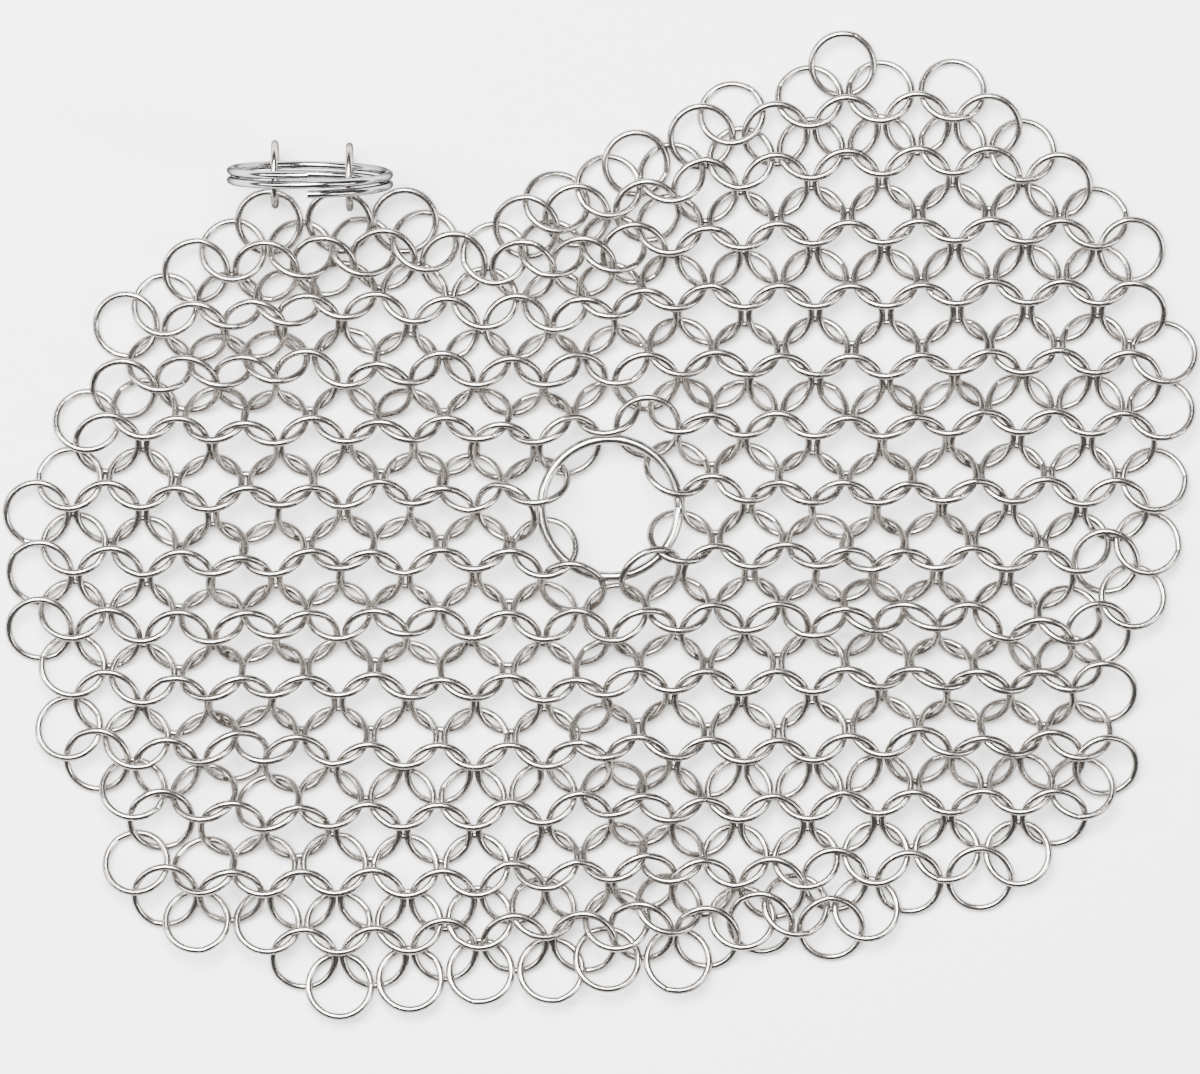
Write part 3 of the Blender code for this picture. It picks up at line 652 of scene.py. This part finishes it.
def mail_layout():
    """Settles the mail: its rings, strips and patches, and the pair that the hangers go through"""
    line = ring_line(WIRE, SOLID_SIDES, SOLID_SAMPLES, RING_RADIUS * SOLID_SHARE)
    sites, side, linked = ring_sites()
    places = lying_places(sites)
    count = len(sites)
    centres = np.concatenate([sites, np.full((count, 1), CENTRE_HEIGHT)], 1)
    frames = leaning_frames(sites, side)
    free = np.full((count, count), WIRE + RUNNING_GAP)
    loose = np.zeros((count, count), bool)
    for step in range(1, DRAW_STEPS + 1):
        part = step / DRAW_STEPS
        target = sites + part * (places - sites)
        centres, frames = settle(
            line, centres, frames, linked, part * free, loose, target, DRAW_PULL, 0, DRAW_ROUNDS)
    centres, frames = settle(line, centres, frames, linked, free, loose, places, REST_PULL, SINK, REST_ROUNDS)
    band = np.searchsorted(np.array(FOLD_LINES), centres[:, 1])
    groups = patches_of(centres, band, linked)
    pair = hanging_row(centres, side)
    for _ in range(HOLD_PASSES):
        touching = ties_of(line, groups, centres, frames)
        spacing = np.where(band[:, None] != band[None], WIRE + FOLD_GAP, free)
        spacing[touching] = WIRE - TOUCH_DEPTH
        centres, frames = settle(
            line, centres, frames, linked, spacing, touching, places, HOLD_PULL, SINK, HOLD_ROUNDS, pair)
    return centres, frames, band, groups, pair


centres, frames, band, groups, pair = mail_layout()

# Handling leaves the rings a little turned. They turn step by step while their wire grows to its
# full thickness, less beside the fold lines, where the rings need room to fold.
STRAY_SEED = 11
STRAY_ANGLE = math.radians(15)
STRAY_STEPS = 10
STRAY_ROUNDS = 25
LAST_ROUNDS = 150
CALM_REACH = 0.006
CALM_SHARE = 0.3
LOOSE_GAP = 0.00002
BAND_GAP = 0.00060
count = len(centres)
draw = np.random.default_rng(STRAY_SEED)
strays = STRAY_ANGLE / STRAY_STEPS * draw.uniform(-1, 1, (count, 3))
beside_fold = np.abs(centres[:, 1:2] - np.array(FOLD_LINES)).min(1) < CALM_REACH
strays[beside_fold] *= CALM_SHARE
gaps = np.where(band[:, None] != band[None], BAND_GAP, LOOSE_GAP)
loose = np.zeros((count, count), bool)
lying = centres[:, :2].copy()
wire = WIRE
for _ in range(STRAY_STEPS):
    wire += (DRAWN_WIRE - WIRE) / STRAY_STEPS
    frames = turned(frames, strays)
    centres, frames = settle(
        round_line(wire), centres, frames, loose, wire + gaps, loose, lying,
        HOLD_PULL, SINK, STRAY_ROUNDS, pair)
centres, frames = settle(
    round_line(wire), centres, frames, loose, wire + gaps, loose, lying,
    HOLD_PULL, SINK, LAST_ROUNDS, pair)

shift = box_centre("centre_ring") - np.array([0, 0, CENTRE_HEIGHT])
made = [0] * len(STRIP_NAMES)
for group in groups:
    strip = band[group[0]]
    made[strip] += 1
    node = STRIP_NAMES[strip] + "_mail_" + str(made[strip])
    rings = []
    for member in group:
        turn = draw.uniform(0, 2 * math.pi)
        spin = np.array([
            [math.cos(turn), -math.sin(turn), 0],
            [math.sin(turn), math.cos(turn), 0],
            [0, 0, 1]])
        place = centres[member] + shift
        rings.append(placed_copy(small_ring, "ring", place, frames[member] @ spin, draw.uniform(0, 1)))
    patch = joined(rings, node + "_rings")
    dress(patch, STRIP_NAMES[strip] + "_strip", node, mail_steel)

# Hanger rings
# Two of the same small rings, upright, each linked through a ring of the mat's edge.
# The split ring hangs in both.

# Each one's turn about its middle, in radians, and its tone
HANGER_TURNS = {"left": (1.1, 0.3), "right": (4.0, 0.7)}
for word, (turn, tone) in HANGER_TURNS.items():
    node = "hanger_ring_" + word
    axes = np.array([
        [0, 0, 1],
        [math.cos(turn), -math.sin(turn), 0],
        [math.sin(turn), math.cos(turn), 0]])
    hanger = joined([placed_copy(small_ring, node, box_centre(node), axes, tone)], node + "_wire")
    dress(hanger, "far_outer_strip", node, mail_steel)
bpy.data.objects.remove(small_ring)

# Centre ring
# A larger ring of thicker stainless wire, butted and welded, so its seam is wider than a small ring's.
# Some of the inmost rings of the mat are threaded on it, and it turns freely in them.
CENTRE_SEAM = 0.00016
CENTRE_CAGE_SIDES = 40
CENTRE_CAGE_WIRE_SIDES = 6
CENTRE_BRIGHT = (0.52, 0.50, 0.48)
CENTRE_DULL = (0.23, 0.215, 0.20)
CENTRE_POLISH = 0.17
CENTRE_TONE = 0.2
centre_steel = steel("centre_wire_steel", CENTRE_BRIGHT, CENTRE_DULL, CENTRE_POLISH)
whole_ring = closed_ring(
    "whole_ring", CENTRE_RADIUS, CENTRE_WIRE, CENTRE_CAGE_SIDES, CENTRE_CAGE_WIRE_SIDES, CENTRE_SEAM)
centre_wire = placed_copy(whole_ring, "centre_ring_wire", box_centre("centre_ring"), np.eye(3), CENTRE_TONE)
centre_ring = joined([centre_wire], "centre_ring_wire")
bpy.data.objects.remove(whole_ring)
dress(centre_ring, "centre_ring", "centre_ring", centre_steel)

# Split ring
# Two close turns of spring steel wire, flattened where the turns lie on each other, with cut ends.
# It stands in the two hanger rings and leans a little over the mat.
SPLIT_OUTER = 0.0235
SPLIT_WIRE = 0.0013
SPLIT_RADIUS = (SPLIT_OUTER - SPLIT_WIRE) / 2
SPLIT_TURNS = 2
SPLIT_LEAN = math.radians(8)
SPLIT_SECTION_SIDES = 10
SPLIT_FLAT_SHARE = 0.9
SPLIT_COIL_STEPS = 48
SPLIT_CLOSE_PITCH = 0.00134
SPLIT_SHARP_ANGLE = math.radians(50)
SPLIT_BRIGHT = (0.47, 0.46, 0.455)
SPLIT_DULL = (0.28, 0.27, 0.26)
SPLIT_POLISH = 0.12
split_steel = steel("split_wire_steel", SPLIT_BRIGHT, SPLIT_DULL, SPLIT_POLISH)
bpy.ops.object.select_all(action="DESELECT")
bpy.ops.mesh.primitive_circle_add(
    vertices=SPLIT_SECTION_SIDES, radius=SPLIT_WIRE / 2, location=(0, SPLIT_RADIUS, -SPLIT_CLOSE_PITCH),
    rotation=(0, math.pi / 2, 0))
split_ring = bpy.context.object
split_ring.scale = (SPLIT_FLAT_SHARE, 1, 1)
bpy.ops.object.transform_apply(location=True, rotation=True, scale=True)
coil = split_ring.modifiers.new("coil", "SCREW")
coil.axis = "Z"
coil.angle = 2 * math.pi
coil.iterations = SPLIT_TURNS
coil.screw_offset = SPLIT_CLOSE_PITCH
coil.steps = SPLIT_COIL_STEPS
coil.render_steps = SPLIT_COIL_STEPS
bpy.ops.object.modifier_apply(modifier="coil")
bpy.ops.object.mode_set(mode="EDIT")
bpy.ops.mesh.select_mode(type="EDGE")
bpy.ops.mesh.select_all(action="DESELECT")
bpy.ops.mesh.select_non_manifold(
    use_wire=False, use_multi_face=False, use_non_contiguous=False, use_verts=False)
bpy.ops.mesh.edge_face_add()
bpy.ops.mesh.select_all(action="SELECT")
bpy.ops.mesh.normals_make_consistent(inside=False)
bpy.ops.object.mode_set(mode="OBJECT")
bpy.ops.object.shade_smooth_by_angle(angle=SPLIT_SHARP_ANGLE)
leaning = np.array([
    [1, 0, 0],
    [0, -math.sin(SPLIT_LEAN), -math.cos(SPLIT_LEAN)],
    [0, math.cos(SPLIT_LEAN), -math.sin(SPLIT_LEAN)]])
set_in_mesh(split_ring, box_centre("split_ring"), leaning)
split_ring.name = "split_ring_coil"
dress(split_ring, "split_ring", "split_ring", split_steel)

# Studio
# A pale worktop, which glows a little so that it stays light between the rings,
# a large soft light overhead and two narrower ones at the sides.
WORKTOP_SIDE = 3.0
WORKTOP_DROP = 0.0001
WORKTOP_COLOUR = (0.90, 0.90, 0.90)
WORKTOP_ROUGHNESS = 0.9
WORKTOP_GLOW = 0.55
AIR_COLOUR = (0.20, 0.20, 0.21)
AIR_STRENGTH = 0.55

# Place, width, height and power of each light
SOFT_LIGHTS = {
    "overhead_light": ((-0.15, 0.32, 0.90), 0.70, 0.56, 46),
    "left_light": ((-0.80, 0.10, 0.70), 0.22, 0.80, 12),
    "right_light": ((0.80, -0.25, 0.75), 0.18, 0.80, 9),
}
bpy.ops.object.select_all(action="DESELECT")
bpy.ops.mesh.primitive_plane_add(size=WORKTOP_SIDE, location=(0, 0, -WORKTOP_DROP))
worktop = bpy.context.object
worktop.name = "worktop"
pale = bpy.data.materials.new("pale_worktop")
pale.use_nodes = True
pale_inputs = pale.node_tree.nodes["Principled BSDF"].inputs
pale_inputs["Base Color"].default_value = (*WORKTOP_COLOUR, 1)
pale_inputs["Roughness"].default_value = WORKTOP_ROUGHNESS
pale_inputs["Emission Color"].default_value = (1, 1, 1, 1)
pale_inputs["Emission Strength"].default_value = WORKTOP_GLOW
worktop.data.materials.append(pale)

for name, (place, width, height, power) in SOFT_LIGHTS.items():
    light = bpy.data.lights.new(name, "AREA")
    light.shape = "RECTANGLE"
    light.size = width
    light.size_y = height
    light.energy = power
    lamp = bpy.data.objects.new(name, light)
    bpy.context.scene.collection.objects.link(lamp)
    lamp.location = place
    lamp.rotation_euler = (-Vector(place)).to_track_quat("-Z", "Y").to_euler()

air = bpy.data.worlds.new("studio_air")
air.use_nodes = True
air.node_tree.nodes["Background"].inputs["Color"].default_value = (*AIR_COLOUR, 1)
air.node_tree.nodes["Background"].inputs["Strength"].default_value = AIR_STRENGTH
bpy.context.scene.world = air

# Camera
# Straight above the mat and framed as the photograph: so many millimetres to a pixel of its
# 1200 by 1074, with the middle of the centre ring on its own pixel.
MILLIMETRES_A_PIXEL = 0.1415
CENTRE_PIXEL = (610, 508)
FRAME_PIXELS = (1200, 1074)
CAMERA_HEIGHT = 1.2
MAIL_HEIGHT = 0.004
SENSOR_MILLIMETRES = 36
NEAREST_SEEN = 0.01
pixel = MILLIMETRES_A_PIXEL / 1000
lens = bpy.data.cameras.new("camera")
camera = bpy.data.objects.new("camera", lens)
bpy.context.scene.collection.objects.link(camera)
camera.location = (
    shift[0] + (FRAME_PIXELS[0] / 2 - CENTRE_PIXEL[0]) * pixel,
    shift[1] + (CENTRE_PIXEL[1] - FRAME_PIXELS[1] / 2) * pixel,
    CAMERA_HEIGHT)
lens.sensor_width = SENSOR_MILLIMETRES
lens.lens = SENSOR_MILLIMETRES * (CAMERA_HEIGHT - MAIL_HEIGHT) / (FRAME_PIXELS[0] * pixel)
lens.clip_start = NEAREST_SEEN
bpy.context.scene.camera = camera
